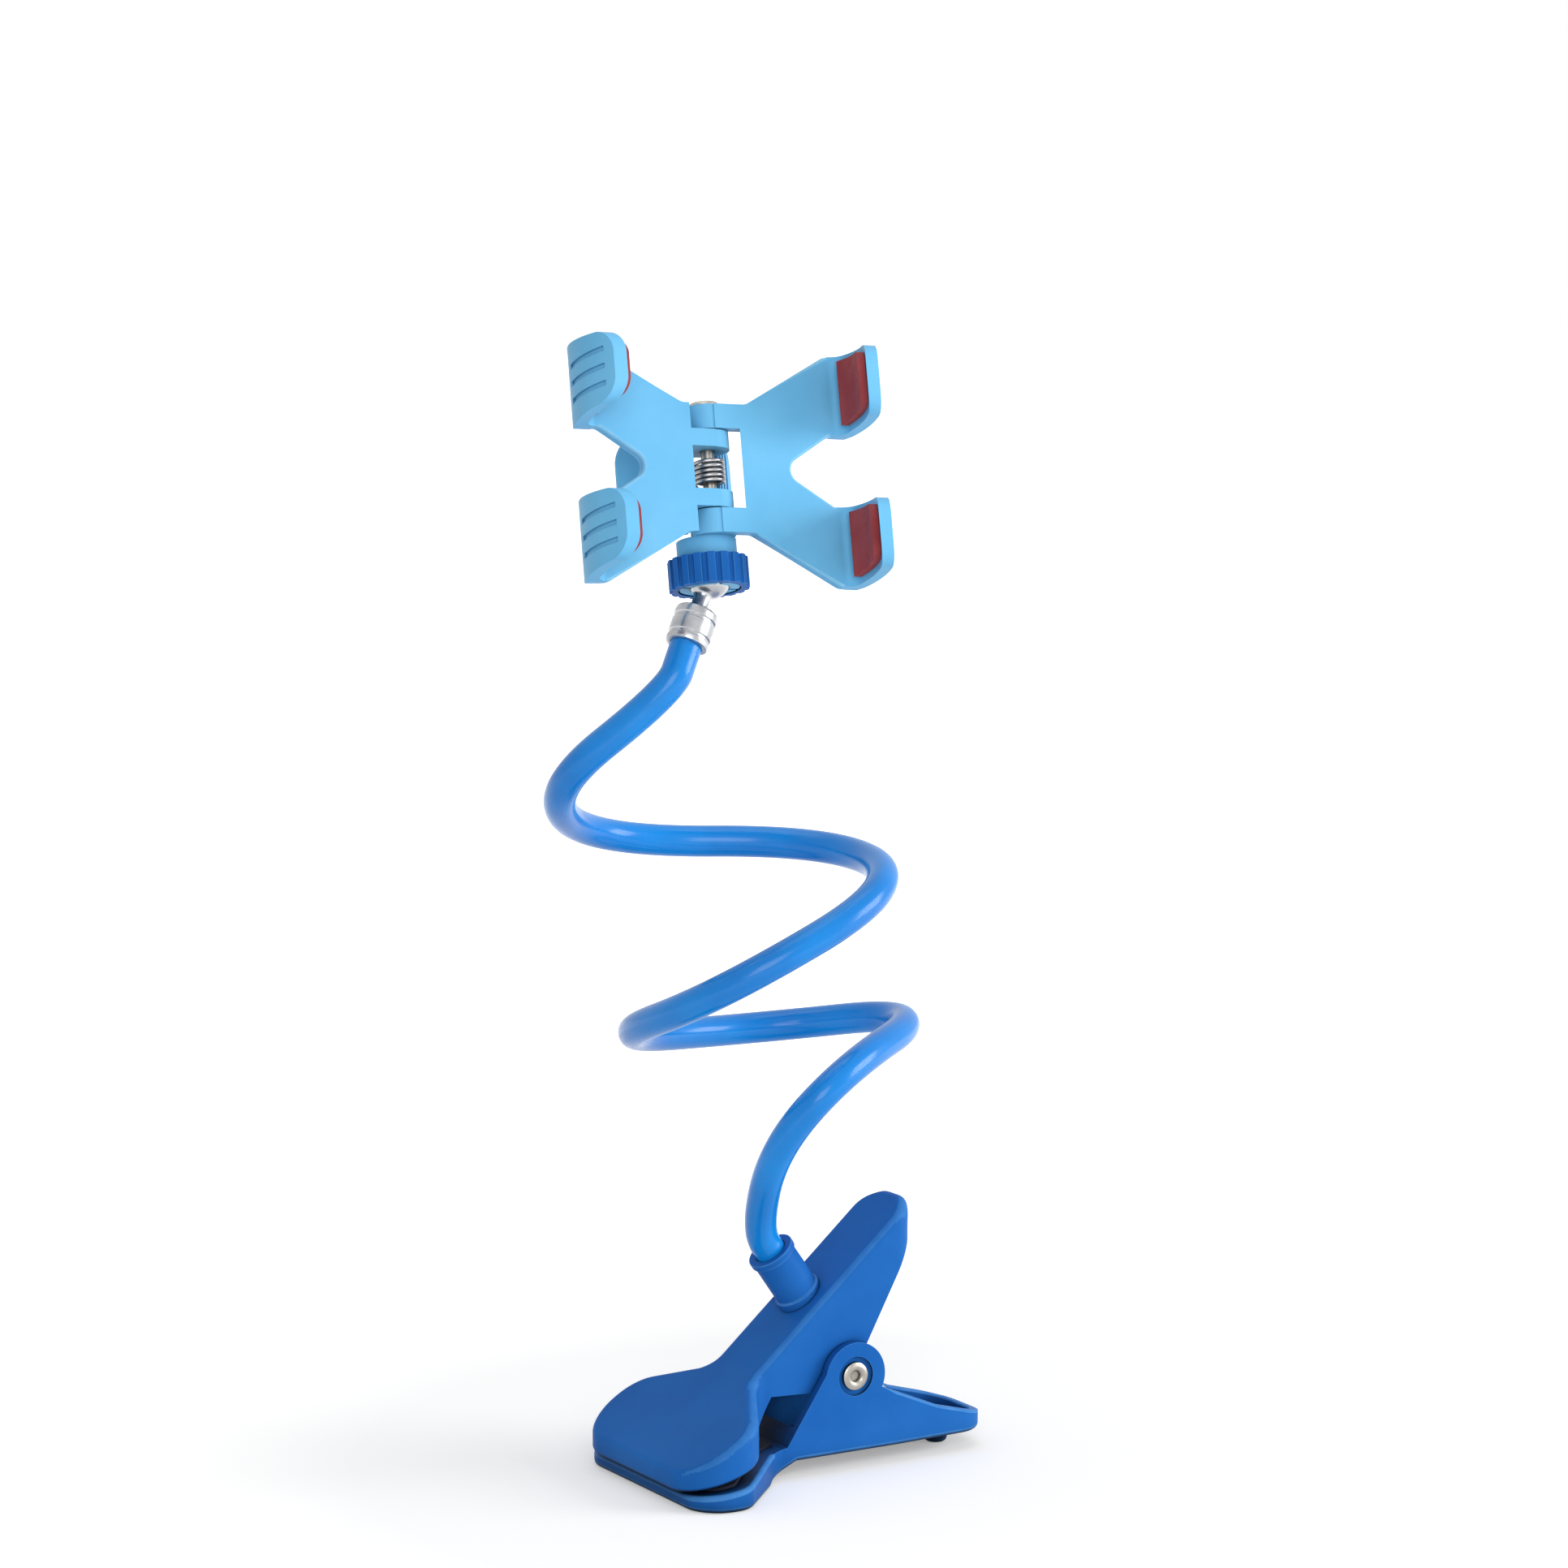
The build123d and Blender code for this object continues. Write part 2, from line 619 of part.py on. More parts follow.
with BuildPart() as claw_blank:
    with BuildSketch():
        with BuildLine():
            hub_back = Line((0, -arm_back), (across(finger_radius, -arm_back), -arm_back))
            outer_face = ThreePointArc(
                hub_back @ 1, (across(finger_radius, -grip_ahead), -grip_ahead),
                (across(finger_radius, tip_y), tip_y),
            )
            tip = Line(outer_face @ 1, (across(finger_inner, tip_y), tip_y))
            inner_face = ThreePointArc(
                tip @ 1, (across(finger_inner, -grip_ahead), -grip_ahead),
                (across(finger_inner, -arm_front), -arm_front),
            )
            arm_face = Line(inner_face @ 1, (0, -arm_front))
            Line(arm_face @ 1, hub_back @ 0)
        profile = make_face()
        fillet(profile.vertices().sort_by_distance(inner_face @ 1)[0], radius=finger_wall)
        fillet(profile.vertices().sort_by_distance(hub_back @ 1)[0], radius=1.5 * finger_wall)
    extrude(amount=finger_high, both=True)
    with BuildSketch(Plane.XZ):
        with BuildLine():
            root_x = across(finger_inner, -arm_front) - arm_wall
            Polyline(
                (0, -hinge_half_height), (web_reach / 2, -hinge_half_height), (root_x, -finger_high),
                (2 * finger_radius, -finger_high), (2 * finger_radius, -finger_low), (root_x, -finger_low),
                (web_reach, 0), (root_x, finger_low), (2 * finger_radius, finger_low),
                (2 * finger_radius, finger_high), (root_x, finger_high), (web_reach / 2, hinge_half_height),
                (0, hinge_half_height), close=True,
            )
        fork = make_face()
        fillet(fork.vertices().filter_by(lambda v: 1 < v.X < root_x + 1), radius=arm_wall)
    extrude(amount=4 * finger_radius, both=True, mode=Mode.INTERSECT)
    with BuildSketch(Plane.YZ):
        add(finger_side(0))
        with Locations((-arm_front, 0)):
            Rectangle(4 * finger_radius, 4 * finger_radius, align=(Align.MIN, Align.CENTER))
    extrude(amount=4 * finger_radius, mode=Mode.INTERSECT)
    for up in (1, -1):
        for rib in (-1, 0, 1):
            groove_z = up * finger_spacing / 2 + rib * finger_rib_pitch - finger_rib_width / 2
            with BuildSketch(Plane.XY.offset(groove_z)):
                add(ring_band(2 * finger_radius, finger_radius - finger_rib_groove))
                with Locations((0, -grip_ahead)):
                    Rectangle(
                        4 * finger_radius, 2 * finger_tip_reach - 2 * finger_wall,
                        align=(Align.MIN, Align.CENTER), mode=Mode.INTERSECT,
                    )
            extrude(amount=finger_rib_width, mode=Mode.SUBTRACT)
    with BuildSketch(tab_plane):
        with Locations((knuckle_radius / 2, 0)):
            thumb_tab = Rectangle(tab_length, tab_width, align=(Align.MIN, Align.CENTER))
        fillet(thumb_tab.vertices().group_by(Axis.X)[-1], radius=tab_round)
    extrude(amount=tab_thickness)
    with BuildSketch(tab_plane):
        for rib in range(tab_ribs):
            with Locations((knuckle_radius / 2 + tab_length - tab_round - rib * tab_rib_pitch, 0)):
                SlotOverall(tab_width - 1.3 * tab_round, tab_rib_pitch / 2, rotation=90)
    extrude(amount=-tab_rib_height)


def hinge_rings(low, high, radius):
    """Rings round the pin at mirrored heights above and below the middle."""
    with BuildPart() as rings:
        for side in (1, -1):
            with BuildSketch(Plane.XY.offset(side * low)):
                Circle(radius)
            extrude(amount=side * (high - low))
    return rings.part


outer_low = hinge_half_height - outer_knuckle_length
inner_high = outer_low - running_gap
inner_low = inner_high - inner_knuckle_length
swing_radius = knuckle_radius + hinge_window
socket_radius = ball_diameter / 2 + running_gap / 2
socket_outer = socket_radius + socket_wall
socket_mouth = -ball_drop - socket_mouth_drop
socket_plane = Plane((0, ball_back, socket_mouth))

# A lug on each outer knuckle stops the swinging half's thumb tab where the spring closes it
lug_plane = Plane(
    origin=(0, 0, 0),
    x_dir=(-cos(radians(tab_angle)), sin(radians(tab_angle)), 0),
    z_dir=(-sin(radians(tab_angle)), -cos(radians(tab_angle)), 0),
)
lug_middle = (outer_low + tab_width / 2) / 2

with BuildPart() as fixed_claw:
    add(claw_blank.part)
    add(hinge_rings(0, outer_low, swing_radius), mode=Mode.SUBTRACT)
    add(hinge_rings(outer_low, hinge_half_height, knuckle_radius))
    with BuildSketch(lug_plane.offset(running_gap)):
        for side in (1, -1):
            with Locations((0, side * lug_middle)):
                Rectangle(stop_lug_length, tab_width / 2 - outer_low, align=(Align.MIN, Align.CENTER))
    extrude(amount=stop_lug_thickness)
    with BuildSketch(socket_plane):
        Circle(socket_outer)
    extrude(amount=-hinge_half_height - socket_mouth)
    with Locations((0, ball_back, -ball_drop)):
        Sphere(socket_radius, mode=Mode.SUBTRACT)
    with BuildSketch(socket_plane):
        for turn in (0, 90):
            Rectangle(3 * socket_outer, socket_slot, rotation=turn)
    extrude(amount=socket_slot_height, mode=Mode.SUBTRACT)
    with BuildSketch(Plane.XY.offset(-hinge_half_height + arm_wall)):
        Circle(hinge_pin_diameter / 2)
    extrude(amount=4 * hinge_half_height, mode=Mode.SUBTRACT)
finish(fixed_claw, "fixed_claw", cradle)

with BuildPart() as swing_claw:
    add(mirror(claw_blank.part, about=Plane.YZ, mode=Mode.PRIVATE))
    add(hinge_rings(inner_high, 2 * hinge_half_height, swing_radius), mode=Mode.SUBTRACT)
    add(hinge_rings(0, inner_low, swing_radius), mode=Mode.SUBTRACT)
    add(hinge_rings(inner_low, inner_high, knuckle_radius))
    with BuildSketch():
        Circle(hinge_pin_diameter / 2 + running_gap)
    extrude(amount=2 * hinge_half_height, both=True, mode=Mode.SUBTRACT)
finish(swing_claw, "swing_claw", cradle)

with BuildPart() as hinge_pin:
    with BuildSketch(Plane.XY.offset(-hinge_half_height + arm_wall)):
        Circle(hinge_pin_diameter / 2)
    extrude(amount=2 * hinge_half_height - arm_wall)
    with BuildSketch(Plane.XY.offset(hinge_half_height)):
        Circle(hinge_pin_head / 2)
    extrude(amount=hinge_pin_head_thickness)
    fillet(hinge_pin.edges().group_by(Axis.Z)[-1], radius=0.6 * hinge_pin_head_thickness)
finish(hinge_pin, "hinge_pin", cradle)

cradle_spring = torsion_spring(
    cradle_coil_radius, cradle_wire, tab_angle + 90, 90 - tab_angle, cradle_coil_turns,
    cradle_leg_length, cradle_leg_length,
)
finish(cradle_spring, "cradle_spring", cradle)

# Soft pads inside the four fingers
with BuildPart() as pads_blank:
    with BuildSketch():
        add(ring_band(finger_inner, pad_inner))
        with Locations((0, -arm_front - finger_wall)):
            Rectangle(
                4 * finger_radius, 4 * finger_radius, align=(Align.MIN, Align.MAX), mode=Mode.INTERSECT
            )
    extrude(amount=finger_high, both=True)
    with BuildSketch(Plane.YZ):
        add(finger_side(finger_pad_inset))
    extrude(amount=4 * finger_radius, mode=Mode.INTERSECT)

for hand, flip in (("fixed", False), ("swing", True)):
    for level, keep in (("upper", Keep.TOP), ("lower", Keep.BOTTOM)):
        with BuildPart() as finger_pad:
            add(mirror(pads_blank.part, about=Plane.YZ, mode=Mode.PRIVATE) if flip else pads_blank.part)
            split(bisect_by=Plane.XY, keep=keep)
        finish(finger_pad, f"{hand}_{level}_pad", cradle)

# Knurled nut that squeezes the socket on the ball
with BuildPart() as lock_nut:
    with BuildSketch(socket_plane.offset(-running_gap)):
        Circle(socket_outer + running_gap + nut_wall)
        Circle(socket_outer + running_gap, mode=Mode.SUBTRACT)
        with PolarLocations(socket_outer + running_gap + nut_wall, nut_knurls):
            Circle(nut_knurl_radius, mode=Mode.SUBTRACT)
    extrude(amount=nut_height)
finish(lock_nut, "lock_nut", cradle)

print("hinge axis", (cradle * Location((0, 0, 1))).position - cradle.position, "ball", ball_centre)
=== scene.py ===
"""Looks of the clip-on gooseneck phone holder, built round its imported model.

Every piece is in metres, in the model's own frame: +X from the clamp's nose to its handles,
-Y the cradle's open side, +Z up. Lengths written in millimetres go through mm().
"""

from collections import namedtuple
from math import cos, pi, radians, sin

import bmesh
import bpy
from mathutils import Matrix, Vector


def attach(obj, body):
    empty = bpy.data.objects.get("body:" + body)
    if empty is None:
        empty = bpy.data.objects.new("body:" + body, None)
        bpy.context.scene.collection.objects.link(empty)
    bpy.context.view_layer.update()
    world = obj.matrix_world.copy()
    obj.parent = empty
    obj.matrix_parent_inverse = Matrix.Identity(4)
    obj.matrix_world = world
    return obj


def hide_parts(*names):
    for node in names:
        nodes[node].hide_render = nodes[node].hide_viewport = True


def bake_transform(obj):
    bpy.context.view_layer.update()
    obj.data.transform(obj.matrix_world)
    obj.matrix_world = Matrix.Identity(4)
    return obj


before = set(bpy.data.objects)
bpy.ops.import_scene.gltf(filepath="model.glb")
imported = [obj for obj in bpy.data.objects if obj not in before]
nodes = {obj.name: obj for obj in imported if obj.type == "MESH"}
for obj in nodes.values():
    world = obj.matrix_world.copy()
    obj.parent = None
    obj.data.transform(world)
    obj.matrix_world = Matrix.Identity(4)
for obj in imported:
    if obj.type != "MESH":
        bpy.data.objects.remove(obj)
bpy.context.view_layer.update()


def mm(value):
    return value / 1000.0


def mm_point(x, y, z):
    return Vector((mm(x), mm(y), mm(z)))


# Camera, at the photograph's angle
PHOTO_PIXELS = 1932
FOCAL_PIXELS = 5880
SENSOR_WIDTH = 36
CAMERA_TARGET = mm_point(-2.1, 18.5, 170)
CAMERA_DISTANCE = 1.2
CAMERA_BACK = Vector((-0.51063, -0.84984, 0.13053))
CAMERA_RIGHT = Vector((0.857167, -0.515038, 0))

# Floor and room. The floor's own white grows between two distances from the clamp
FLOOR_REACH = 6
PAPER_COLOUR = (0.9, 0.9, 0.9, 1)
NEAR, FAR = 0.12, 0.5
WHITE_NEAR, WHITE_FAR = 0.3, 1.0
ROOM_LIGHT = 0.36

# Range that most of a noise pattern lies in
NOISE_LOW, NOISE_HIGH = 0.3, 0.7

# Openness at which a corner's painted shade is darkest, and at which it is gone
CORNER_CLOSED, CORNER_OPEN = 0.27, 0.66
CORNER_SAMPLES = 8

# Places repeated from the part
PIVOT = mm_point(0, 0, 24)
PIVOT_AXIS = Vector((0, 1, 0))
SLEEVE_DIAMETER = mm(8)
COLLAR_FOOT = mm_point(-8.7, 0, 43.4)
COLLAR_AXIS = Vector((-0.573576, 0, 0.819152))
BALL_CENTRE = mm_point(-35.466, -1.616, 225.072)
BALL_RADIUS_MM = 5.5
BALL_HEIGHT_MM = 11.1  # of the ball's centre above the neck's top
HINGE_MIDDLE = mm_point(-33.6, 1.6, 250.2)
HINGE_RIGHT = Vector((0.993768, -0.092672, -0.061943))
HINGE_AXIS = Vector((0.087156, 0.299562, 0.950088))
HINGE_FRONT = HINGE_RIGHT.cross(HINGE_AXIS)
NECK_BENDS = [
    mm_point(-24.0, -13.2, 84.7),
    mm_point(-10.1, -24.0, 105.0),
    mm_point(33.5, 4.1, 111.3),
    mm_point(2.9, 42.4, 103.4),
    mm_point(-51.9, 24.3, 108.4),
    mm_point(-48.0, -28.0, 127.1),
    mm_point(5.0, -29.2, 150.4),
    mm_point(12.6, 17.6, 154.7),
    mm_point(-42.5, 45.4, 155.0),
    mm_point(-76.6, 8.4, 173.9),
    mm_point(-50.9, -10.0, 199.3),
]
STUD_AXIS = (BALL_CENTRE - NECK_BENDS[-1]).normalized()
NECK_TOP = BALL_CENTRE - STUD_AXIS * mm(BALL_HEIGHT_MM)

# Points that keep the neck straight: heights in its collar, and one below its top
COLLAR_RUN_MM = (0.6, 12, 22)
FERRULE_RUN = mm(10)

# Edges that get a round of their own
NOSE_MIDDLE_X = mm(-38)
NOSE_END_X = mm(-24)
HANDLE_START_X = mm(8)
HANDLE_FLOOR_Z = mm(9)
UNDERSIDE_TOP_Z = mm(10)
ARM_START = mm(12)  # from the hinge's axis
ARM_END = mm(32)
TAB_START = mm(-3)  # minus is behind the hinge's axis
BROAD_FACE = mm(1)

# Points of the upper jaw's own round that get a painted highlight: the largest face there, and how the
# surface leans
LIP_FACE = mm(6) ** 2
LIP_LEAN_LEAST, LIP_LEAN_MOST = 0.3, 0.9
LIP_RISE_LEAST = 0.25
LIP_SHARE = 0.5  # of the paler colour that a new rim gets

# Clean-up and rounding of the solids' meshes
MERGE_DISTANCE = mm(0.004)
FLAT_ANGLE = radians(0.6)
SHARP_ANGLE = radians(32)
HELD_BACK_MM = 0.6  # rounds narrower than this shrink where edges crowd
TURN_STEPS = 80

# Width in mm, test of edges, and number of segments
Rounding = namedtuple("Rounding", "width where segments")


def add_object(name, data):
    added = bpy.data.objects.new(name, data)
    bpy.context.scene.collection.objects.link(added)
    return added


def to_mesh(shape, name):
    mesh = bpy.data.meshes.new(name)
    shape.to_mesh(mesh)
    shape.free()
    return mesh


# Camera, stage and light

def place_camera():
    lens = bpy.data.cameras.new("photo_camera")
    lens.sensor_width = SENSOR_WIDTH
    lens.sensor_fit = "HORIZONTAL"
    lens.lens = SENSOR_WIDTH * FOCAL_PIXELS / PHOTO_PIXELS
    lens.clip_start = 0.05
    lens.clip_end = 20
    camera = add_object("photo_camera", lens)
    up = CAMERA_BACK.cross(CAMERA_RIGHT)
    turn = Matrix((CAMERA_RIGHT, up, CAMERA_BACK)).transposed().to_4x4()
    camera.matrix_world = Matrix.Translation(CAMERA_TARGET + CAMERA_DISTANCE * CAMERA_BACK) @ turn
    bpy.context.scene.camera = camera


def combine(tree, operation, first, second):
    """Joins two values in a Math node. The second may be a plain number."""
    node = tree.nodes.new("ShaderNodeMath")
    node.operation = operation
    tree.links.new(first, node.inputs[0])
    if isinstance(second, float):
        node.inputs[1].default_value = second
    else:
        tree.links.new(second, node.inputs[1])
    return node.outputs[0]


def seen_directly(tree):
    """One where a stage surface is seen, in a gloss or through glass too, and nothing for other light."""
    path = tree.nodes.new("ShaderNodeLightPath")
    level = path.outputs["Is Camera Ray"]
    for ray in ("Is Glossy Ray", "Is Transmission Ray"):
        level = combine(tree, "MAXIMUM", level, path.outputs[ray])
    return level


def add_white(tree, shader, level):
    """Adds plain white light to a stage surface where it is seen."""
    glow = tree.nodes.new("ShaderNodeEmission")
    tree.links.new(combine(tree, "MULTIPLY", seen_directly(tree), level), glow.inputs["Strength"])
    both = tree.nodes.new("ShaderNodeAddShader")
    tree.links.new(shader.outputs[0], both.inputs[0])
    tree.links.new(glow.outputs[0], both.inputs[1])
    return both.outputs[0]


def lay_floor():
    """Pale paper that keeps the shadow near the clamp and clears to white further off."""
    shape = bmesh.new()
    bmesh.ops.create_grid(shape, x_segments=2, y_segments=2, size=FLOOR_REACH)
    floor = add_object("floor", to_mesh(shape, "floor"))
    paper = bpy.data.materials.new("floor_paper")
    paper.use_nodes = True
    tree = paper.node_tree
    tree.nodes.clear()
    out = tree.nodes.new("ShaderNodeOutputMaterial")
    matt = tree.nodes.new("ShaderNodeBsdfDiffuse")
    matt.inputs["Color"].default_value = PAPER_COLOUR
    place = tree.nodes.new("ShaderNodeTexCoord").outputs["Object"]
    reach = tree.nodes.new("ShaderNodeVectorMath")
    reach.operation = "LENGTH"
    tree.links.new(place, reach.inputs[0])
    clear = spread(tree, reach.outputs["Value"], WHITE_NEAR, WHITE_FAR, start=NEAR, end=FAR)
    tree.links.new(add_white(tree, matt, clear), out.inputs["Surface"])
    floor.data.materials.append(paper)


def light_room():
    """Even white room, dimmer as light than it looks."""
    world = bpy.data.worlds.new("studio")
    bpy.context.scene.world = world
    world.use_nodes = True
    tree = world.node_tree
    tree.nodes.clear()
    out = tree.nodes.new("ShaderNodeOutputWorld")
    room = tree.nodes.new("ShaderNodeBackground")
    room.inputs["Color"].default_value = (1, 1, 1, 1)
    room.inputs["Strength"].default_value = ROOM_LIGHT
    tree.links.new(add_white(tree, room, 1 - ROOM_LIGHT), out.inputs["Surface"])


def add_softbox(name, place, aim, side, power):
    lamp = bpy.data.lights.new(name, "AREA")
    lamp.shape = "SQUARE"
    lamp.size = side
    lamp.energy = power
    box = add_object(name, lamp)
    box.location = place
    box.rotation_euler = (Vector(aim) - Vector(place)).to_track_quat("-Z", "Y").to_euler()


# Finishes

def new_finish(name):
    """A material with one Principled shader and the point on the piece that patterns start from."""
    finish = bpy.data.materials.new(name)
    finish.use_nodes = True
    tree = finish.node_tree
    shader = tree.nodes["Principled BSDF"]
    place = tree.nodes.new("ShaderNodeTexCoord").outputs["Object"]
    return finish, tree, shader, place


def noise(tree, place, scale, detail=3.0, roughness=0.5):
    pattern = tree.nodes.new("ShaderNodeTexNoise")
    pattern.inputs["Scale"].default_value = scale
    pattern.inputs["Detail"].default_value = detail
    pattern.inputs["Roughness"].default_value = roughness
    tree.links.new(place, pattern.inputs["Vector"])
    return pattern.outputs["Fac"]


def stretched(tree, place, scale, turn=(0, 0, 0)):
    """Place to start a pattern from that is finer one way than another."""
    mapping = tree.nodes.new("ShaderNodeMapping")
    mapping.inputs["Scale"].default_value = scale
    mapping.inputs["Rotation"].default_value = turn
    tree.links.new(place, mapping.inputs["Vector"])
    return mapping.outputs["Vector"]


def spread(tree, value, low, high, start=NOISE_LOW, end=NOISE_HIGH):
    """Maps a value to a range."""
    node = tree.nodes.new("ShaderNodeMapRange")
    node.inputs["From Min"].default_value = start
    node.inputs["From Max"].default_value = end
    node.inputs["To Min"].default_value = low
    node.inputs["To Max"].default_value = high
    tree.links.new(value, node.inputs["Value"])
    return node.outputs["Result"]


def two_tones(tree, value, dark, light):
    ramp = tree.nodes.new("ShaderNodeValToRGB")
    stops = zip(ramp.color_ramp.elements, (NOISE_LOW, NOISE_HIGH), (dark, light))
    for stop, position, colour in stops:
        stop.position = position
        stop.color = (*colour, 1)
    tree.links.new(value, ramp.inputs["Fac"])
    return ramp.outputs["Color"]


def blend_colour(tree, share, first, second):
    mix = tree.nodes.new("ShaderNodeMix")
    mix.data_type = "RGBA"
    tree.links.new(share, mix.inputs["Factor"])
    tree.links.new(first, mix.inputs["A"])
    mix.inputs["B"].default_value = (*second, 1)
    return mix.outputs["Result"]


def raise_grain(tree, shader, heights, strength, depth):
    bump = tree.nodes.new("ShaderNodeBump")
    bump.inputs["Strength"].default_value = strength
    bump.inputs["Distance"].default_value = depth
    tree.links.new(heights, bump.inputs["Height"])
    tree.links.new(bump.outputs["Normal"], shader.inputs["Normal"])


def srgb(red, green, blue):
    """Linear colour from the 0 to 255 values that a screen shows."""
    return tuple(
        c / 12.92 if c <= 0.04045 else ((c + 0.055) / 1.055) ** 2.4
        for c in (red / 255, green / 255, blue / 255)
    )


def shade_hollows(tree, colour, reach, darkest):
    """Darkens a colour in narrow gaps and corners: painted shade."""
    hollow = tree.nodes.new("ShaderNodeAmbientOcclusion")
    hollow.samples = CORNER_SAMPLES
    hollow.inputs["Distance"].default_value = reach
    unshaded = spread(tree, hollow.outputs["AO"], darkest, 1.0, start=CORNER_CLOSED, end=CORNER_OPEN)
    darken = tree.nodes.new("ShaderNodeMix")
    darken.data_type = "RGBA"
    darken.blend_type = "MULTIPLY"
    darken.inputs["Factor"].default_value = 1.0
    tree.links.new(colour, darken.inputs["A"])
    tree.links.new(unshaded, darken.inputs["B"])
    return darken.outputs["Result"]


def marked(tree, layer):
    """Value of a mark that the mesh carries."""
    mark = tree.nodes.new("ShaderNodeAttribute")
    mark.attribute_name = layer
    return mark.outputs["Fac"]


def moulded_plastic(name, dark, light, worn_rim_highlight, roughness, grain_scale, grain_depth, darkest):
    """Injection-moulded plastic: soft cloudy colour, painted shade in hollows, a painted highlight along
    rounded edges broken up by wear, and a fine grain.
    """
    finish, tree, shader, place = new_finish(name)
    colour = two_tones(tree, noise(tree, place, scale=45, detail=4), dark, light)
    # Painted highlight along rounded edges, broken up by a wear pattern
    edges = combine(tree, "MAXIMUM", marked(tree, "worn_rim_highlight"), marked(tree, "lip_highlight"))
    highlight_wear = spread(tree, noise(tree, place, scale=260, detail=2), low=0.35, high=0.6)
    colour = blend_colour(tree, combine(tree, "MULTIPLY", edges, highlight_wear), colour, worn_rim_highlight)
    # Painted shade in hollows and corners
    colour = shade_hollows(tree, colour, reach=mm(20), darkest=darkest)
    tree.links.new(colour, shader.inputs["Base Color"])
    smear = noise(tree, place, scale=90, detail=5, roughness=0.6)
    smear = spread(tree, smear, low=roughness - 0.05, high=roughness + 0.06)
    tree.links.new(smear, shader.inputs["Roughness"])
    grain = noise(tree, place, grain_scale, detail=2)
    raise_grain(tree, shader, grain, strength=0.35, depth=grain_depth)
    shader.inputs["IOR"].default_value = 1.5
    shader.inputs["Specular IOR Level"].default_value = 0.05
    return finish


def glossy_sleeve(name, dark, light):
    """Extruded soft tube: clear gloss, faint draw lines along its length, slow waves in its skin."""
    finish, tree, shader, place = new_finish(name)
    along = tree.nodes.new("ShaderNodeUVMap")
    along.uv_map = "tube"
    lines = noise(tree, stretched(tree, along.outputs["UV"], scale=(3, 60, 1)), scale=1.0)
    colour = two_tones(tree, noise(tree, place, scale=35), dark, light)
    tree.links.new(colour, shader.inputs["Base Color"])
    tree.links.new(spread(tree, lines, low=0.2, high=0.3), shader.inputs["Roughness"])
    waves = noise(tree, place, scale=160, detail=2)
    skin = combine(tree, "ADD", combine(tree, "MULTIPLY", lines, 0.3), waves)
    raise_grain(tree, shader, skin, strength=0.25, depth=mm(0.15))
    shader.inputs["IOR"].default_value = 1.53
    shader.inputs["Specular IOR Level"].default_value = 0.22
    shader.inputs["Coat Weight"].default_value = 0.15
    shader.inputs["Coat Roughness"].default_value = 0.12
    return finish


def soft_rubber(name, dark, light, grain_scale):
    """Matt soft rubber with a cloudy colour and a pebbled skin."""
    finish, tree, shader, place = new_finish(name)
    colour = two_tones(tree, noise(tree, place, scale=120, detail=4), dark, light)
    tree.links.new(colour, shader.inputs["Base Color"])
    dull = spread(tree, noise(tree, place, scale=300), low=0.62, high=0.8)
    tree.links.new(dull, shader.inputs["Roughness"])
    cells = tree.nodes.new("ShaderNodeTexVoronoi")
    cells.inputs["Scale"].default_value = grain_scale
    tree.links.new(place, cells.inputs["Vector"])
    raise_grain(tree, shader, cells.outputs["Distance"], strength=0.4, depth=mm(0.12))
    shader.inputs["Specular IOR Level"].default_value = 0.35
    return finish


def plated_steel(name, dark, light, smoothest, roughest, scratch_scale):
    """Nickel-plated steel: slightly clouded plating with fine scratches, and painted shade in its corners.
    """
    finish, tree, shader, place = new_finish(name)
    shader.inputs["Metallic"].default_value = 1.0
    colour = two_tones(tree, noise(tree, place, scale=220, detail=4), dark, light)
    colour = shade_hollows(tree, colour, reach=mm(3), darkest=0.15)
    tree.links.new(colour, shader.inputs["Base Color"])
    cloud = noise(tree, place, scale=500, detail=5, roughness=0.65)
    tree.links.new(spread(tree, cloud, smoothest, roughest), shader.inputs["Roughness"])
    drawn_out = stretched(tree, place, scale=(1, 1, 14), turn=(0.3, 0.5, 0))
    scratches = noise(tree, drawn_out, scratch_scale, detail=2)
    raise_grain(tree, shader, scratches, strength=0.15, depth=mm(0.05))
    return finish


# Tests of the edges and points of a solid

def edge_middle(edge):
    return (edge.verts[0].co + edge.verts[1].co) / 2


def wall_at(edge, facing, level, upright):
    """Wall at an edge that it shares with one level face, or None. facing is 1 for up and -1 for down."""
    levels = [f for f in edge.link_faces if f.normal.z * facing > level]
    walls = [f for f in edge.link_faces if abs(f.normal.z) < upright]
    return walls[0] if len(levels) == 1 and len(walls) == 1 else None


def lower_rim(edge):
    """Upper outline of the lower jaw's nose."""
    wall = wall_at(edge, facing=1, level=0.8, upright=0.1)
    middle = edge_middle(edge)
    outwards = Vector((middle.x - NOSE_MIDDLE_X, middle.y, 0))
    return wall is not None and middle.x < NOSE_END_X and wall.normal.dot(outwards) > 0


def handle_wall(edge):
    """Top edges of the lower handle's walls."""
    wall = wall_at(edge, facing=1, level=0.6, upright=0.1)
    middle = edge_middle(edge)
    return wall is not None and middle.x > HANDLE_START_X and middle.z > HANDLE_FLOOR_Z


def under_edge(edge):
    """Outer edges of the lower jaw's underside."""
    wall = wall_at(edge, facing=-1, level=0.7, upright=0.2)
    return wall is not None and edge_middle(edge).z < UNDERSIDE_TOP_Z and edge.is_convex


def arm_edge(edge):
    """Outward edges of a claw's arms and thumb tab, clear of its hinge, fingers and ribs."""
    away = edge_middle(edge) - HINGE_MIDDLE
    reach = (away - HINGE_AXIS * away.dot(HINGE_AXIS)).length
    on_tab = away.dot(HINGE_FRONT) < TAB_START
    broad = min(f.calc_area() for f in edge.link_faces) / edge.calc_length() > BROAD_FACE
    return reach > ARM_START and (on_tab or reach < ARM_END) and broad and edge.is_convex


def everywhere(edge):
    return True


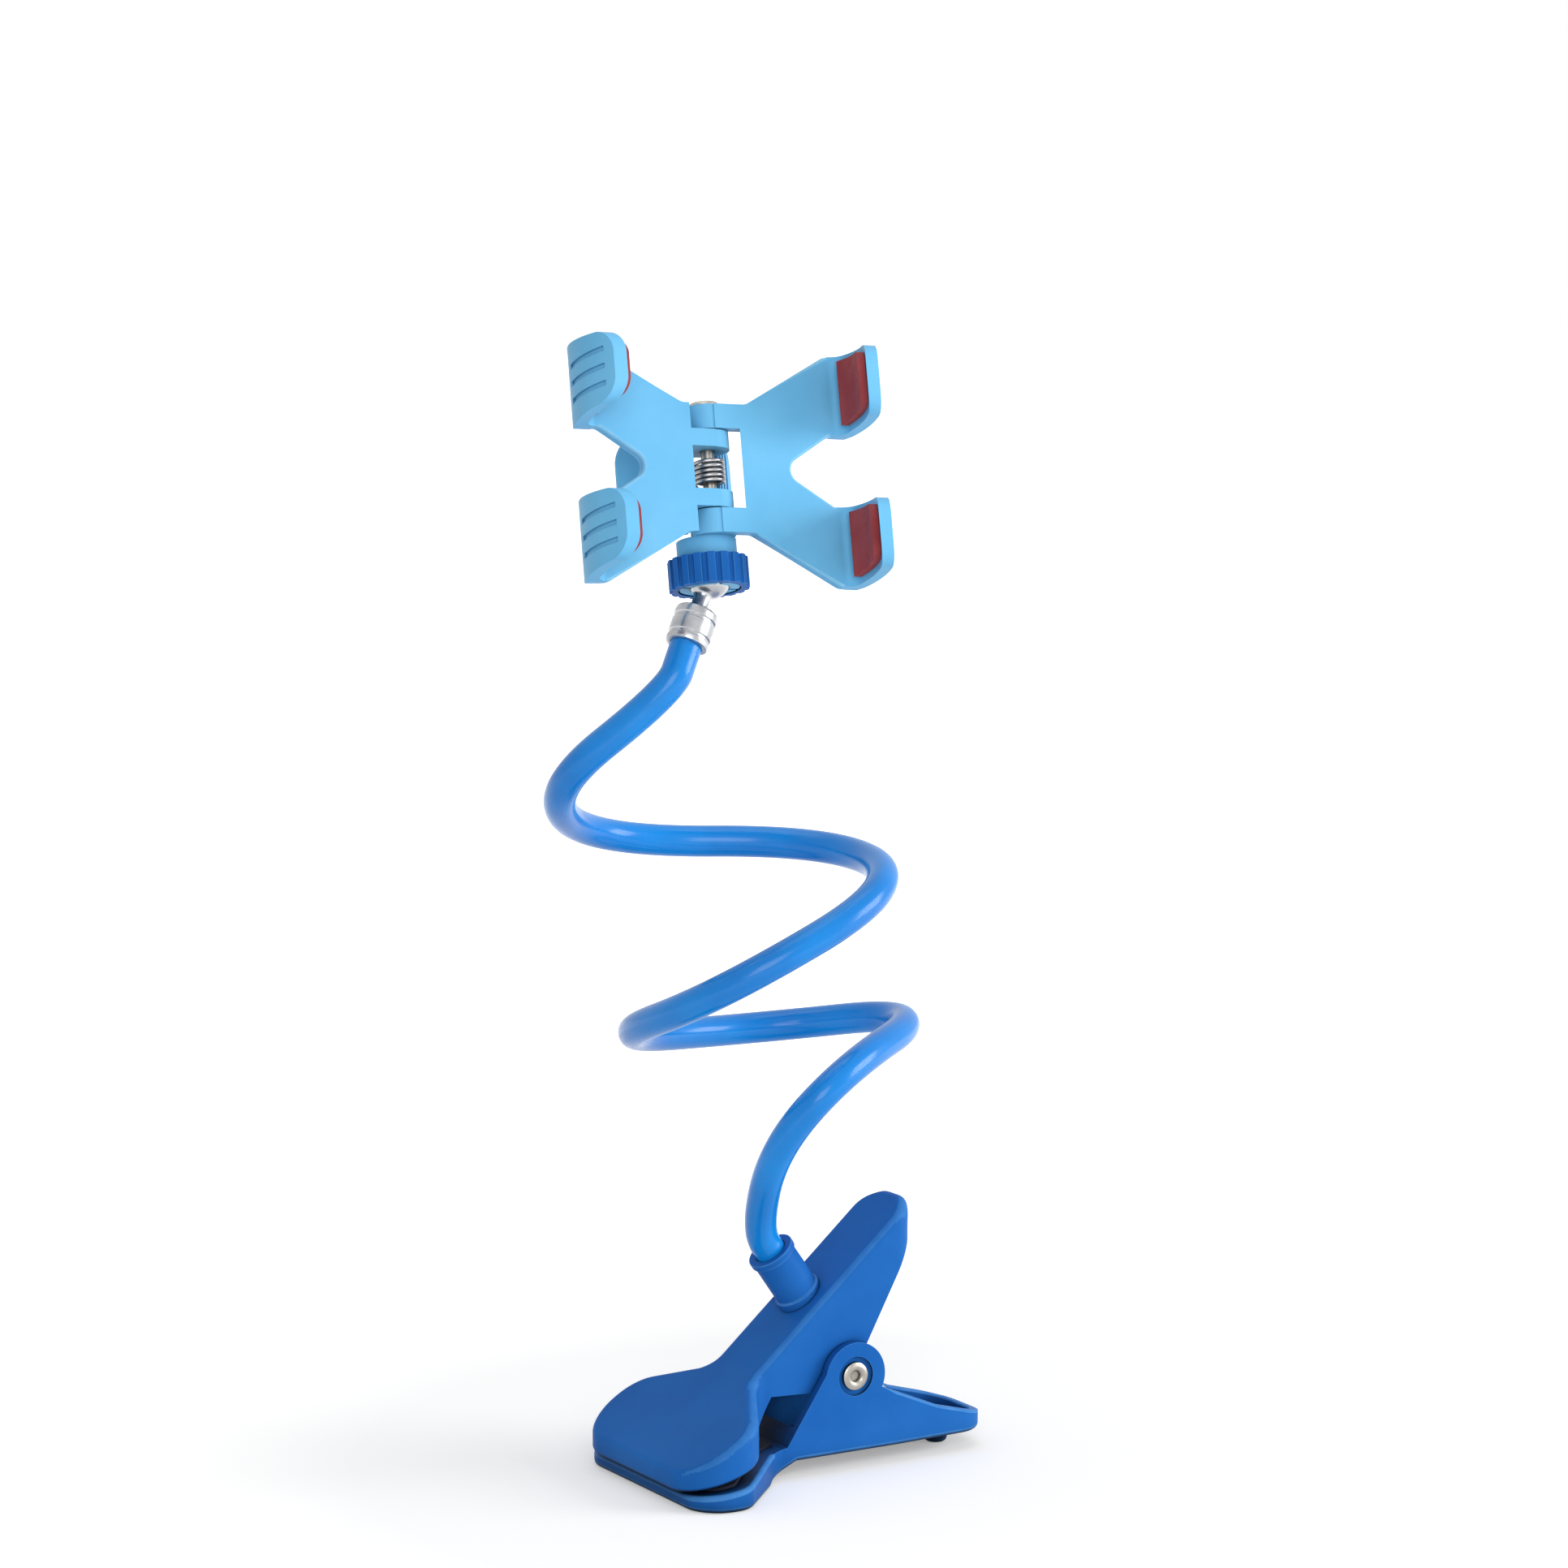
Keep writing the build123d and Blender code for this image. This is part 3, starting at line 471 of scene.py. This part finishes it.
def upper_lip(point):
    """Middle of the round along the sides of the upper jaw's top, clear of its flat faces, where a painted
    highlight goes.
    """
    small = max(f.calc_area() for f in point.link_faces) < LIP_FACE
    leans = LIP_LEAN_LEAST < abs(point.normal.y) < LIP_LEAN_MOST
    return small and leans and point.normal.z > LIP_RISE_LEAST


# Pieces

def merged_copy(node):
    """Editable copy of a solid's mesh, with its faces joined."""
    shape = bmesh.new()
    shape.from_mesh(nodes[node].data)
    bmesh.ops.remove_doubles(shape, verts=shape.verts, dist=MERGE_DISTANCE)
    return shape


def stand(mesh, name, smooth):
    """Object for a mesh, shaded smooth up to an angle in degrees."""
    piece = add_object(name, mesh)
    mesh.shade_smooth()
    mesh.set_sharp_from_angle(angle=radians(smooth))
    even = piece.modifiers.new("even_shading", "WEIGHTED_NORMAL")
    even.keep_sharp = True
    return piece


def soft_edges(node, name, roundings, painted_highlight_test=None):
    """Copy of a solid with its sharp edges rounded.

    New rounds are marked for a painted highlight broken up by wear, and points of the solid's own rounds
    that pass a test are marked for a painted highlight too."""
    shape = merged_copy(node)
    bmesh.ops.dissolve_limit(
        shape, angle_limit=FLAT_ANGLE, verts=shape.verts, edges=shape.edges, use_dissolve_boundaries=False
    )
    # Marks where a painted highlight goes: new rounds, and chosen points of the solid's own rounds
    worn_rim_highlight = shape.faces.layers.float.new("worn_rim_highlight")
    lip_highlight = shape.verts.layers.float.new("lip_highlight")
    shape.normal_update()
    for point in shape.verts:
        point[lip_highlight] = LIP_SHARE if painted_highlight_test and painted_highlight_test(point) else 0.0
    for width, where, segments in roundings:
        shape.normal_update()
        chosen = [
            e for e in shape.edges
            if len(e.link_faces) == 2 and e.calc_face_angle(0) > SHARP_ANGLE and where(e)
        ]
        made = bmesh.ops.bevel(
            shape, geom=chosen, offset=mm(width), offset_type="OFFSET", affect="EDGES",
            segments=segments, profile=0.5, material=-1, clamp_overlap=width < HELD_BACK_MM,
            loop_slide=True,
        )
        for face in made["faces"]:
            face[worn_rim_highlight] = 1.0
    return stand(to_mesh(shape, name), name, smooth=34)


def wire_copy(node, name):
    """Copy of a spring's solid."""
    return stand(to_mesh(merged_copy(node), name), name, smooth=50)


def turned(name, outline, foot, axis):
    """Turned piece: an outline of radius and height in mm, closed on itself or on the axis, and spun."""
    side = axis.orthogonal().normalized()
    shape = bmesh.new()
    ring = [shape.verts.new(foot + side * mm(radius) + axis * mm(height)) for radius, height in outline]
    sides = [shape.edges.new(pair) for pair in zip(ring, ring[1:])]
    if outline[0][0] > 0:
        sides.append(shape.edges.new((ring[-1], ring[0])))
    bmesh.ops.spin(
        shape, geom=ring + sides, cent=foot, axis=axis, dvec=(0, 0, 0), angle=2 * pi,
        steps=TURN_STEPS, use_merge=True,
    )
    bmesh.ops.remove_doubles(shape, verts=shape.verts, dist=MERGE_DISTANCE)
    bmesh.ops.recalc_face_normals(shape, faces=shape.faces)
    return stand(to_mesh(shape, name), name, smooth=40)


def rivet_outline():
    """Rivet with a rolled-over head and a shallow hollow at each end."""
    end = [
        (2.3, 12.1), (3.45, 12.1), (3.6, 12.5), (3.5, 12.95), (2.95, 13.3), (2.2, 13.4), (1.6, 13.15),
        (1.3, 12.7), (1.2, 12.2), (0, 12.1),
    ]
    return [(radius, -height) for radius, height in reversed(end)] + end


def ferrule_outline():
    """Cup with two crimped grooves, open below, with a hole for the stem in its floor."""
    return [
        (4.05, -8), (4.7, -8), (5.1, -7.8), (5.3, -7.3), (5.3, -6.5), (4.95, -6.2), (4.95, -5.6),
        (5.3, -5.3), (5.3, -1.9), (4.95, -1.6), (4.95, -1.0), (5.3, -0.7), (5.3, 0.7), (5.1, 1.3),
        (4.6, 1.6), (2.45, 1.6), (2.45, 0.1), (4.05, 0.1),
    ]


def ball_outline():
    """Ball on a waisted stem, from the stem's foot to the ball's top."""
    stem = [(0, 0.05), (2.4, 0.05), (2.4, 2.0), (2.1, 2.5), (2.1, 5.2), (2.3, 5.9)]
    angles = [radians(degrees) for degrees in range(28, 180, 8)]
    ball = [(BALL_RADIUS_MM * sin(a), BALL_HEIGHT_MM - BALL_RADIUS_MM * cos(a)) for a in angles]
    return stem + ball + [(0, BALL_HEIGHT_MM + BALL_RADIUS_MM)]


def neck_line():
    """Smooth line of the neck, straight out of the collar and straight into the ferrule."""
    points = [COLLAR_FOOT + COLLAR_AXIS * mm(run) for run in COLLAR_RUN_MM]
    points += NECK_BENDS + [NECK_TOP - STUD_AXIS * FERRULE_RUN, NECK_TOP]
    line = bpy.data.curves.new("neck_line", "CURVE")
    line.dimensions = "3D"
    spline = line.splines.new("NURBS")
    spline.points.add(len(points) - 1)
    for knot, place in zip(spline.points, points):
        knot.co = (*place, 1)
    spline.order_u = 3
    spline.use_endpoint_u = True
    spline.resolution_u = 24
    return line


def neck_tube(name):
    """Round tube along the neck's line, with a map along its length."""
    line = neck_line()
    line.bevel_depth = SLEEVE_DIAMETER / 2
    line.bevel_resolution = 10
    line.use_fill_caps = True
    holder = add_object("neck_line", line)
    bpy.context.view_layer.update()
    solid = holder.evaluated_get(bpy.context.evaluated_depsgraph_get())
    mesh = bpy.data.meshes.new_from_object(solid)
    bpy.data.objects.remove(holder)
    mesh.name = name
    mesh.uv_layers[0].name = "tube"
    return stand(mesh, name, smooth=60)


def coat(piece, finish):
    piece.data.materials.clear()
    piece.data.materials.append(finish)


def dress(piece, body, slot_name, finish, *replaced):
    """Gives a piece its finish, its body if it has just one, and the nodes that it replaces."""
    coat(piece, finish)
    if body:
        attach(piece, body)
    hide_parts(*replaced)
    return piece


def soften(node, name, body, slot_name, finish, roundings, painted_highlight_test=None):
    """Puts a rounded copy in the place of a solid."""
    dress(soft_edges(node, name, roundings, painted_highlight_test), body, slot_name, finish, node)


# The scene

place_camera()
lay_floor()
light_room()
add_softbox("key_right", place=(1.25, -0.85, 0.55), aim=(0, 0, 0.12), side=0.8, power=15)
add_softbox("top", place=(-0.1, 0.1, 1.4), aim=(0, 0, 0.1), side=1.0, power=3)
add_softbox("fill_front", place=(-0.7, -1.4, 0.7), aim=(0, 0, 0.2), side=0.8, power=9)
bpy.context.scene.view_settings.view_transform = "Standard"

# The rim colour of each plastic is its painted highlight along rounded edges
clamp_finish = moulded_plastic(
    "clamp_plastic", srgb(28, 100, 182), srgb(38, 112, 194), worn_rim_highlight=srgb(92, 160, 226),
    roughness=0.45, grain_scale=2600, grain_depth=mm(0.05), darkest=0.06,
)
claw_finish = moulded_plastic(
    "claw_plastic", srgb(108, 190, 238), srgb(124, 203, 248), worn_rim_highlight=srgb(162, 220, 252),
    roughness=0.36, grain_scale=3000, grain_depth=mm(0.03), darkest=0.55,
)
sleeve_finish = glossy_sleeve("sleeve_gloss", srgb(8, 122, 210), srgb(18, 146, 234))
red_finish = soft_rubber("pad_rubber", srgb(148, 50, 54), srgb(170, 70, 70), grain_scale=1500)
# Near-black rubber of the jaw pads, dark enough to stand in for the shade between the jaws as well
shade_dark_rubber = soft_rubber("bite_rubber", srgb(8, 13, 34), srgb(14, 22, 48), grain_scale=900)
rivet_finish = plated_steel(
    "rivet_nickel", (0.36, 0.34, 0.3), (0.5, 0.47, 0.42),
    smoothest=0.3, roughest=0.45, scratch_scale=900,
)
spring_finish = plated_steel(
    "spring_wire", (0.27, 0.27, 0.28), (0.4, 0.4, 0.41),
    smoothest=0.25, roughest=0.4, scratch_scale=1500,
)
ferrule_finish = plated_steel(
    "ferrule_nickel", (0.36, 0.37, 0.39), (0.5, 0.51, 0.53),
    smoothest=0.18, roughest=0.32, scratch_scale=1200,
)

# Clamp
soften(
    "lower_jaw", "lower_jaw_shell", "lower_jaw", "clamp_blue", clamp_finish,
    [
        Rounding(1.2, lower_rim, 4),
        Rounding(0.7, handle_wall, 3),
        Rounding(1.3, under_edge, 4),
        Rounding(0.4, everywhere, 2),
    ],
)
soften(
    "upper_jaw", "upper_jaw_shell", "upper_jaw", "clamp_blue", clamp_finish,
    [Rounding(0.4, everywhere, 2)], painted_highlight_test=upper_lip,
)
soften(
    "neck_collar", "neck_collar_sleeve", "upper_jaw", "clamp_blue", clamp_finish,
    [Rounding(0.4, everywhere, 3)],
)
# Jaw pads: rubber, whose near-black colour also stands in for the shade in the gap between the jaws
for jaw in ("lower_jaw", "upper_jaw"):
    part = jaw + "_pad"
    soften(part, part + "_rubber", jaw, "grip_dark", shade_dark_rubber, [Rounding(0.3, everywhere, 2)])
rivet = turned("pivot_rivet_rolled", rivet_outline(), PIVOT, PIVOT_AXIS)
dress(rivet, "lower_jaw", "rivet_steel", rivet_finish, "pivot_rivet")

# Neck
tube = dress(neck_tube("neck_tube"), None, "sleeve_blue", sleeve_finish, "neck_sleeve", "neck_core")
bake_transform(tube)
ferrule = turned("neck_ferrule_cup", ferrule_outline(), NECK_TOP, STUD_AXIS)
dress(ferrule, "neck_top", "ferrule_steel", ferrule_finish, "neck_ferrule")
ball = turned("ball_on_stem", ball_outline(), NECK_TOP, STUD_AXIS)
dress(ball, "neck_top", "ferrule_steel", ferrule_finish, "ball_stud")

# Clamp spring, whose coil runs from the lower jaw's leg to the upper jaw's
clamp_wire = dress(
    wire_copy("clamp_spring", "clamp_spring_wire"), None, "spring_steel", spring_finish, "clamp_spring"
)
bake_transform(clamp_wire)

# Cradle
for part in ("fixed_claw", "swing_claw"):
    soften(
        part, part + "_shell", part, "claw_sky", claw_finish,
        [Rounding(0.7, arm_edge, 4), Rounding(0.3, everywhere, 2)],
    )
soften(
    "lock_nut", "lock_nut_shell", "lock_nut", "clamp_blue", clamp_finish,
    [Rounding(0.25, everywhere, 2)],
)
for hand in ("fixed", "swing"):
    for level in ("upper", "lower"):
        part = f"{hand}_{level}_pad"
        soften(
            part, part + "_rubber", f"{hand}_claw", "pad_red", red_finish,
            [Rounding(0.5, everywhere, 3)],
        )

# Cradle spring, whose coil runs from one claw's leg to the other's
cradle_wire = dress(
    wire_copy("cradle_spring", "cradle_spring_wire"), None, "spring_steel", spring_finish, "cradle_spring"
)
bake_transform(cradle_wire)
coat(nodes["hinge_pin"], rivet_finish)
